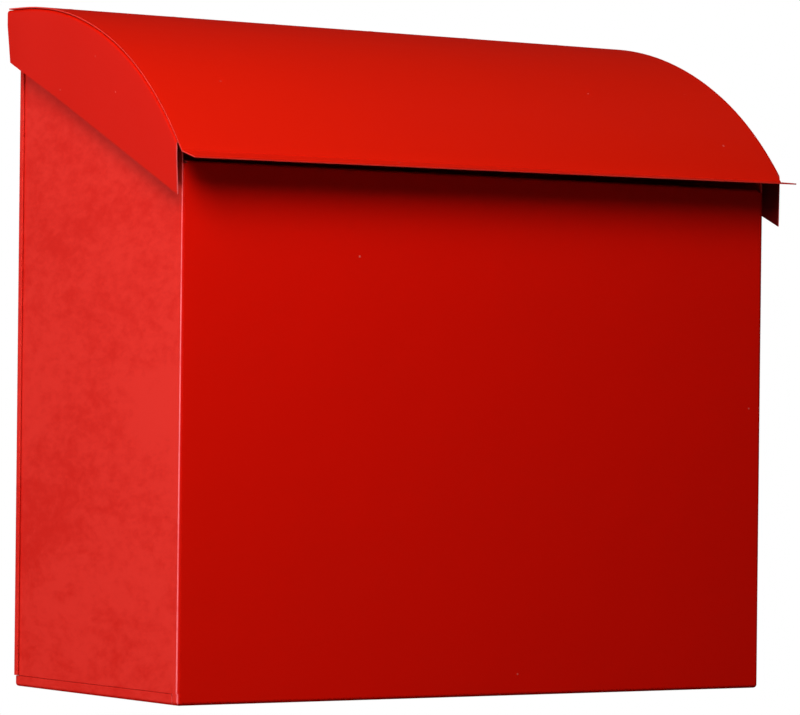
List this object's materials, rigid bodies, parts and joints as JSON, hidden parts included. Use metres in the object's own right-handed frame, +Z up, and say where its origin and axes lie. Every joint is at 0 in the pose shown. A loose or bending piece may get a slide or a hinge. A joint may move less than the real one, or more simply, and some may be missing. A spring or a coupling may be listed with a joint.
{
  "type": "wall mounted mailbox",
  "caption": "Painted sheet steel mailbox that hangs on a wall, with a curved lid that lifts by its front lip and swings up on a hinge along its rear edge.",
  "frame": {"origin": "middle of the back panel's rear face, 200 mm above the bottom, where the box meets the wall", "axes": "+Y into the wall, front of the box towards -Y, +X to the right along the width, +Z up"},
  "size_m": [0.4196, 0.2278, 0.403],
  "materials": {
    "red_paint": "glossy red powder coat",
    "zinc_steel": "bright zinc plate",
    "rivet_aluminium": "plain",
    "buffer_rubber": "matt black"
  },
  "bodies": {
    "box": {"body_shell": "red_paint", "back_pan": "red_paint", "bottom_pan": "red_paint", "hinge_fixed_leaf": "zinc_steel", "hinge_pin": "zinc_steel", "fixed_leaf_rivet_1": "rivet_aluminium", "fixed_leaf_rivet_2": "rivet_aluminium", "fixed_leaf_rivet_3": "rivet_aluminium", "fixed_leaf_rivet_4": "rivet_aluminium", "fixed_leaf_rivet_5": "rivet_aluminium"},
    "lid": {"lid_panel": "red_paint", "lid_cheek_left": "red_paint", "lid_cheek_right": "red_paint", "hinge_lid_leaf": "zinc_steel", "lid_leaf_rivet_1": "red_paint", "lid_leaf_rivet_2": "red_paint", "lid_leaf_rivet_3": "red_paint", "lid_leaf_rivet_4": "red_paint", "lid_leaf_rivet_5": "red_paint", "lid_leaf_rivet_6": "red_paint", "lid_buffer_left": "buffer_rubber", "lid_buffer_right": "buffer_rubber"}
  },
  "joints": [
    {"name": "lid_hinge", "type": "hinge", "parent": "box", "child": "lid", "pos_m": [0, -0.005, 0.1985], "axis": [-1, 0, 0], "range_deg": [0, 90]}
  ]
}
